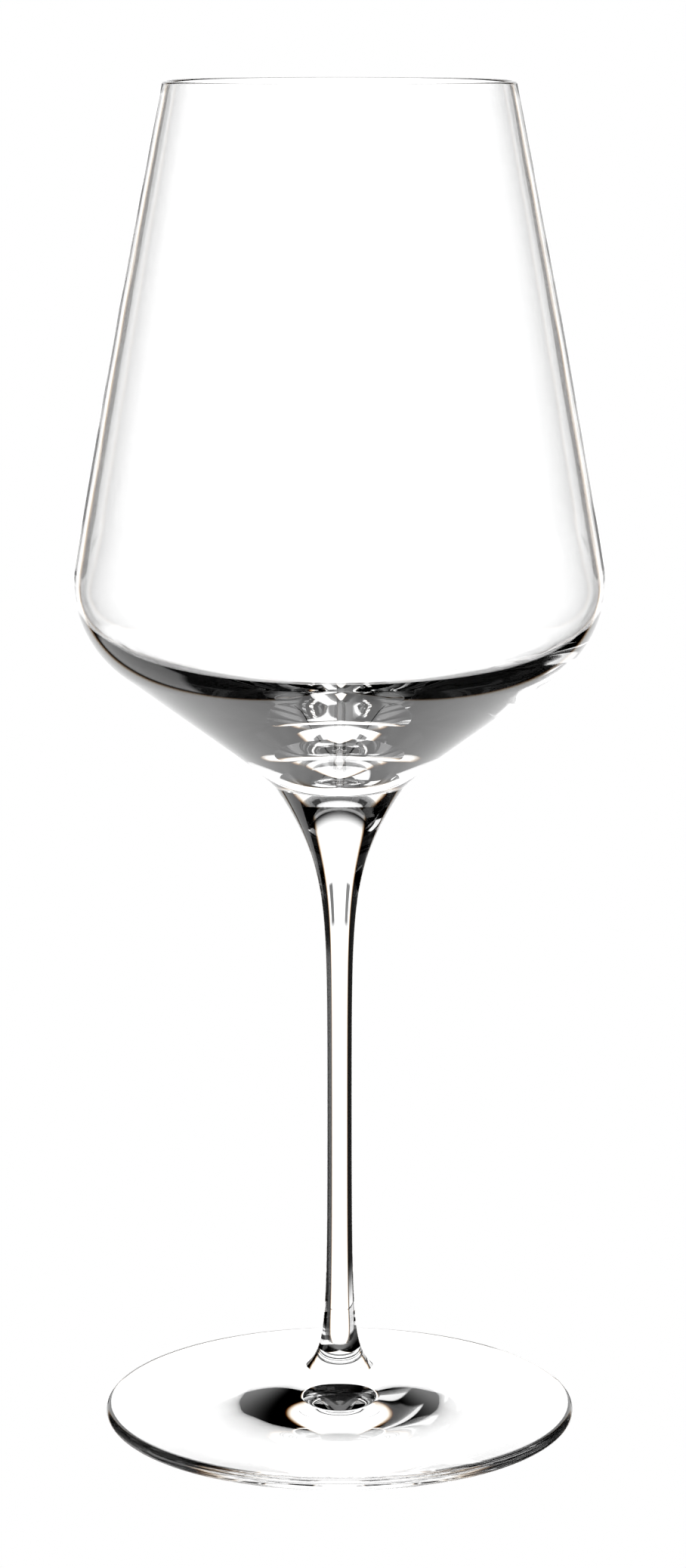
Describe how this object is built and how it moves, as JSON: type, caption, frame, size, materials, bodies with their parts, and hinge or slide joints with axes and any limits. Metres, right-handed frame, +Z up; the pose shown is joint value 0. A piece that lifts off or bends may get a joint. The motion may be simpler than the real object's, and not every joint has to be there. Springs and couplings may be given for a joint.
{
  "type": "wine glass",
  "caption": "Stemmed wine glass: wide-bellied tapering bowl on a slender drawn stem and a flat round foot.",
  "frame": {"origin": "centre of the flat ring under the foot, on the surface the glass stands on", "axes": "+Z up along the glass's axis, from the foot to the rim; the glass is turned about it, so X and Y are free"},
  "size_m": [0.0962, 0.0962, 0.247],
  "materials": {
    "bowl_glass": "clear fire-polished crystal glass, 1 mm thin at the lip",
    "stem_glass": "clear solid drawn crystal glass",
    "foot_glass": "clear polished crystal glass with a rounded edge"
  },
  "bodies": {
    "root": {"bowl": "bowl_glass", "stem": "stem_glass", "foot": "foot_glass"}
  },
  "joints": []
}
